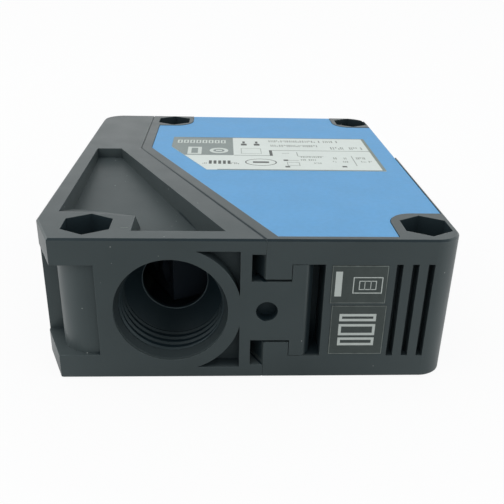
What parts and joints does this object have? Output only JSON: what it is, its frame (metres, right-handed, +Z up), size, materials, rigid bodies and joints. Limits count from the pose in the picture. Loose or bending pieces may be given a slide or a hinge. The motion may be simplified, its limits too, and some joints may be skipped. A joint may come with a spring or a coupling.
{
  "type": "retroreflective photoelectric sensor",
  "caption": "Compact photoelectric sensor: flat black plastic case with a clipped terminal cover, a threaded cable entry, nut pockets, slots and a blue side plate.",
  "frame": {"origin": "on the face it lies on, under the middle of the case", "axes": "+X from the terminal cover's back to the optical face, +Y from the cable-entry end to the control end, +Z up through the thickness"},
  "size_m": [0.063, 0.0746, 0.0235],
  "materials": {
    "moulded_black": "fine-grained moulded plastic, near black, with a little dust",
    "seal_rubber": "soft black sealing rubber",
    "inner_black": "plain black moulded plastic",
    "side_blue": "blue foil, satin",
    "type_white": "white foil, satin, with grey print",
    "sticker_grey": "dark grey foil, satin, with light print",
    "window_dark": "deep red transparent acrylic, polished",
    "lens_clear": "clear moulded lens",
    "filter_grey": "grey polarising film on a carrier",
    "emitter_red": "red resin",
    "diode_dark": "dark resin",
    "board_green": "green solder resist",
    "screw_steel": "zinc-plated steel",
    "relay_case": "pale moulded case",
    "capacitor_sleeve": "shrunk sleeve",
    "chip_black": "moulded package",
    "block_grey": "grey moulded plastic",
    "clamp_brass": "tinned brass",
    "adjuster_white": "white moulded plastic",
    "selector_yellow": "yellow moulded plastic",
    "potentiometer_blue": "blue moulded case",
    "switch_dark": "dark moulded case",
    "pipe_green": "green transparent plastic",
    "pipe_yellow": "yellow transparent plastic",
    "led_pale": "pale resin"
  },
  "bodies": {
    "sensor_body": {"housing": "moulded_black", "terminal_cover": "moulded_black", "cover_seal": "seal_rubber", "window_seal": "seal_rubber", "partition": "inner_black", "optics_carrier": "inner_black", "side_plate": "side_blue", "type_plate": "type_white", "upper_sticker": "sticker_grey", "lower_sticker": "sticker_grey", "front_window": "window_dark", "sender_lens": "lens_clear", "receiver_lens": "lens_clear", "sender_filter": "filter_grey", "receiver_filter": "filter_grey", "emitter": "emitter_red", "photodiode": "diode_dark", "optics_board": "board_green", "main_board": "board_green", "board_screws": "screw_steel", "terminal_screws": "screw_steel", "relay": "relay_case", "storage_capacitor": "capacitor_sleeve", "control_chip": "chip_black", "terminal_block": "block_grey", "terminal_clamps": "clamp_brass", "potentiometer": "potentiometer_blue", "selector_switch": "switch_dark", "green_light_pipe": "pipe_green", "yellow_light_pipe": "pipe_yellow", "indicator_leds": "led_pale"},
    "sensitivity_adjuster": {"sensitivity_adjuster": "adjuster_white", "sensitivity_seal": "seal_rubber"},
    "light_dark_selector": {"light_dark_selector": "selector_yellow", "selector_seal": "seal_rubber"}
  },
  "joints": [
    {"name": "sensitivity_turn", "type": "hinge", "parent": "sensor_body", "child": "sensitivity_adjuster", "pos_m": [-0.00426, 0.03475, 0.01175], "axis": [0, 1, 0], "range_deg": [-135, 135]},
    {"name": "light_dark_turn", "type": "hinge", "parent": "sensor_body", "child": "light_dark_selector", "pos_m": [0.00464, 0.03475, 0.01175], "axis": [0, 1, 0], "range_deg": [0, 90]}
  ]
}
